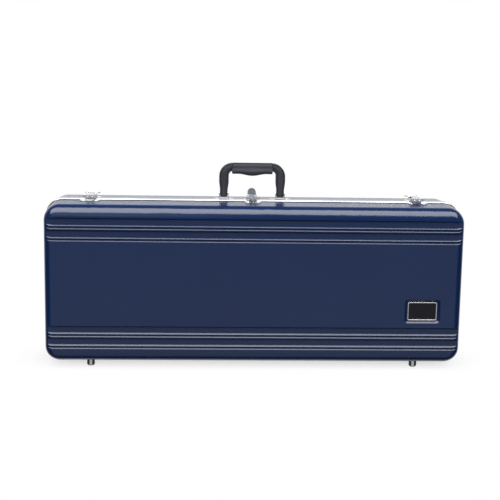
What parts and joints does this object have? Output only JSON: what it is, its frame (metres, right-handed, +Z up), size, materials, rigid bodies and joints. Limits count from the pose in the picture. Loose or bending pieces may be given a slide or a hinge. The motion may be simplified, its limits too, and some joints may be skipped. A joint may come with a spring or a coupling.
{
  "type": "tenor saxophone case",
  "caption": "Moulded hard case for a tenor saxophone, with hinged lid, metal valances, draw latches, key lock, folding handle and padded cradle.",
  "frame": {"origin": "on the ground under the middle of the case", "axes": "+X along the case's length, +Y to the rear base shell, +Z up; the lid faces -Y"},
  "size_m": [0.839, 0.2, 0.4056],
  "materials": {
    "blue_shell": "deep blue moulded plastic with a fine diamond texture",
    "valance_metal": "brushed aluminium extrusion",
    "chrome_parts": "bright nickel plate",
    "steel_parts": "plain zinc-plated steel",
    "plush": "black short-pile plush over foam",
    "handle_leather": "dark grained leather-look cover with stitching",
    "badge_black": "gloss black enamel, bare",
    "badge_silver": "polished rim",
    "tab_cloth": "woven webbing",
    "lock_grey": "dark grey plated thumb piece"
  },
  "bodies": {
    "base": {"base_cradle": "plush", "base_foot_left": "chrome_parts", "base_foot_right": "chrome_parts", "base_shell": "blue_shell", "base_valance": "valance_metal", "handle_bracket_left": "chrome_parts", "handle_bracket_right": "chrome_parts", "hinge_centre_base_leaf": "steel_parts", "hinge_centre_pin": "steel_parts", "hinge_left_base_leaf": "steel_parts", "hinge_left_pin": "steel_parts", "hinge_right_base_leaf": "steel_parts", "hinge_right_pin": "steel_parts", "latch_left_base": "chrome_parts", "latch_left_lever_pins": "chrome_parts", "latch_right_base": "chrome_parts", "latch_right_lever_pins": "chrome_parts", "lock_base": "chrome_parts", "lock_lever_pins": "chrome_parts"},
    "lid": {"badge_plate": "badge_black", "badge_rim": "badge_silver", "hinge_centre_lid_leaf": "steel_parts", "hinge_left_lid_leaf": "steel_parts", "hinge_right_lid_leaf": "steel_parts", "latch_left_catch": "chrome_parts", "latch_right_catch": "chrome_parts", "lid_foot_left": "chrome_parts", "lid_foot_right": "chrome_parts", "lid_lining": "plush", "lid_shell": "blue_shell", "lid_valance": "valance_metal", "lock_catch": "chrome_parts"},
    "handle": {"handle_grip": "handle_leather", "handle_pin_left": "chrome_parts", "handle_pin_right": "chrome_parts", "handle_strap": "handle_leather"},
    "accessory_lid": {"accessory_lid": "plush", "accessory_lid_tab": "tab_cloth"},
    "latch_left_lever": {"latch_left_lever": "chrome_parts", "latch_left_claw_pin": "chrome_parts"},
    "latch_left_claw": {"latch_left_claw": "chrome_parts"},
    "latch_right_lever": {"latch_right_lever": "chrome_parts", "latch_right_claw_pin": "chrome_parts"},
    "latch_right_claw": {"latch_right_claw": "chrome_parts"},
    "lock_lever": {"lock_lever": "lock_grey", "lock_claw_pin": "chrome_parts"},
    "lock_claw": {"lock_claw": "chrome_parts"},
    "lock_cylinder": {"lock_cylinder": "chrome_parts"}
  },
  "joints": [
    {"name": "lid_hinge", "type": "hinge", "parent": "base", "child": "lid", "pos_m": [0, -0.01, 0.0068], "axis": [1, 0, 0], "range_deg": [0, 100]},
    {"name": "handle_pivot", "type": "hinge", "parent": "base", "child": "handle", "pos_m": [-0.0037, 0.014, 0.343], "axis": [-1, 0, 0], "range_deg": [-70, 85]},
    {"name": "accessory_lid_hinge", "type": "hinge", "parent": "base", "child": "accessory_lid", "pos_m": [-0.296, -0.0055, 0.2945], "axis": [-1, 0, 0], "range_deg": [0, 100]},
    {"name": "latch_left_lever_pivot", "type": "hinge", "parent": "base", "child": "latch_left_lever", "pos_m": [-0.3305, 0.012, 0.3395], "axis": [1, 0, 0], "range_deg": [0, 100]},
    {"name": "latch_left_claw_pivot", "type": "hinge", "parent": "latch_left_lever", "child": "latch_left_claw", "pos_m": [-0.3305, 0.02, 0.338], "axis": [1, 0, 0], "range_deg": [-100, 0]},
    {"name": "latch_right_lever_pivot", "type": "hinge", "parent": "base", "child": "latch_right_lever", "pos_m": [0.3305, 0.012, 0.3395], "axis": [1, 0, 0], "range_deg": [0, 100]},
    {"name": "latch_right_claw_pivot", "type": "hinge", "parent": "latch_right_lever", "child": "latch_right_claw", "pos_m": [0.3305, 0.02, 0.338], "axis": [1, 0, 0], "range_deg": [-100, 0]},
    {"name": "lock_lever_pivot", "type": "hinge", "parent": "base", "child": "lock_lever", "pos_m": [-0.0037, 0.012, 0.3395], "axis": [1, 0, 0], "range_deg": [0, 60]},
    {"name": "lock_claw_pivot", "type": "hinge", "parent": "lock_lever", "child": "lock_claw", "pos_m": [-0.0037, 0.02, 0.338], "axis": [1, 0, 0], "range_deg": [-60, 0]},
    {"name": "lock_cylinder_turn", "type": "hinge", "parent": "lock_claw", "child": "lock_cylinder", "pos_m": [-0.0037, -0.027, 0.3368], "axis": [0, 1, 0], "range_deg": [0, 90]}
  ],
  "couplings": [
    {"joint": "latch_left_claw_pivot", "follows": "latch_left_lever_pivot", "ratio": -1},
    {"joint": "latch_right_claw_pivot", "follows": "latch_right_lever_pivot", "ratio": -1},
    {"joint": "lock_claw_pivot", "follows": "lock_lever_pivot", "ratio": -1}
  ]
}
